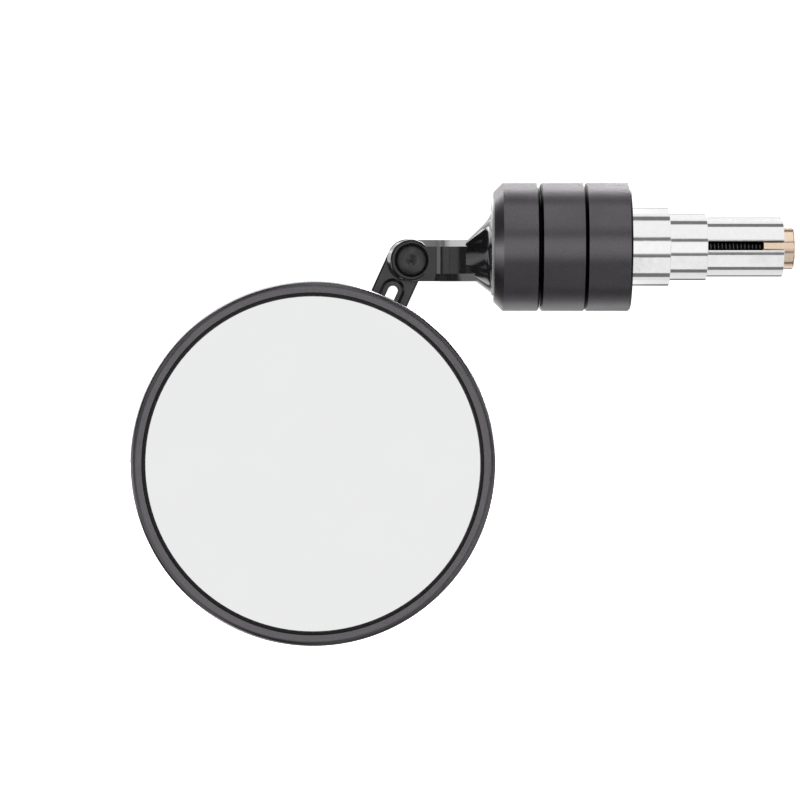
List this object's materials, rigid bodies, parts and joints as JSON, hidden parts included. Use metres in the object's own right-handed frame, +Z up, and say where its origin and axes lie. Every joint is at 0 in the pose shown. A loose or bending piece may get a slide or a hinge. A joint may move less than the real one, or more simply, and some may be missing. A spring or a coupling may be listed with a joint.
{
  "type": "motorcycle bar end mirror",
  "caption": "Round rear-view mirror on a hinged swivel arm, with a turned bar end and a stepped expander that locks it in a handlebar's open end.",
  "frame": {"origin": "on the bar axis, at the inner weight's face where the handlebar's end butts", "axes": "+X along the bar axis into the handlebar, +Z up, -Y towards the rider, whom the glass faces"},
  "size_m": [0.1749, 0.034, 0.122],
  "materials": {
    "black_anodised": "satin black anodised",
    "black_polished": "polished black anodised",
    "bare_aluminium": "turned and polished",
    "brass": "turned",
    "black_steel": "black oxide",
    "bright_steel": "zinc plated",
    "nylon": "moulded",
    "silvered_glass": "silvered glass",
    "foam_tape": "foam",
    "black_rubber": "matt"
  },
  "bodies": {
    "bar_end": {"inner_weight": "black_anodised", "centre_weight": "black_anodised", "end_cap": "black_anodised", "swivel_washer": "nylon", "expander_sleeve": "bare_aluminium", "screw_washer": "bright_steel"},
    "swivel_arm": {"arm": "black_polished", "pivot_screw": "black_steel", "friction_washer": "nylon", "spring_washer": "bright_steel", "pivot_nut": "black_steel"},
    "lug": {"hinge_lug": "black_anodised", "ball_stud": "bright_steel", "stud_nut": "black_steel"},
    "seat": {"ball_seat": "nylon"},
    "mirror_head": {"mirror_housing": "black_anodised", "mirror_glass": "silvered_glass", "glass_tape": "foam_tape", "glass_seal": "black_rubber", "socket_cap": "black_anodised", "socket_cap_screws": "black_steel"},
    "clamp_screw": {"expander_screw": "black_steel"},
    "clamp_wedge": {"expander_wedge": "brass"}
  },
  "joints": [
    {"name": "arm_swivel", "type": "hinge", "parent": "bar_end", "child": "swivel_arm", "pos_m": [0, 0, 0], "axis": [1, 0, 0], "continuous": true},
    {"name": "mirror_swing", "type": "hinge", "parent": "swivel_arm", "child": "lug", "pos_m": [-0.0579, 0, -0.00365], "axis": [0, 1, 0], "range_deg": [-25, 145]},
    {"name": "mirror_tilt", "type": "hinge", "parent": "lug", "child": "seat", "pos_m": [-0.08373, -0.00722, -0.05731], "axis": [1, 0, 0], "range_deg": [-8, 8]},
    {"name": "mirror_turn", "type": "hinge", "parent": "seat", "child": "mirror_head", "pos_m": [-0.08373, -0.00722, -0.05731], "axis": [0, 0, 1], "range_deg": [-8, 8]},
    {"name": "screw_turn", "type": "hinge", "parent": "bar_end", "child": "clamp_screw", "pos_m": [0, 0, 0], "axis": [1, 0, 0], "range_deg": [-1440, 540]},
    {"name": "wedge_slide", "type": "slide", "parent": "bar_end", "child": "clamp_wedge", "axis": [1, 0, 0], "range_m": [-0.0016, 0.0042]}
  ],
  "couplings": [
    {"joint": "wedge_slide", "follows": "screw_turn", "m_per_rad": -0.00015915}
  ]
}
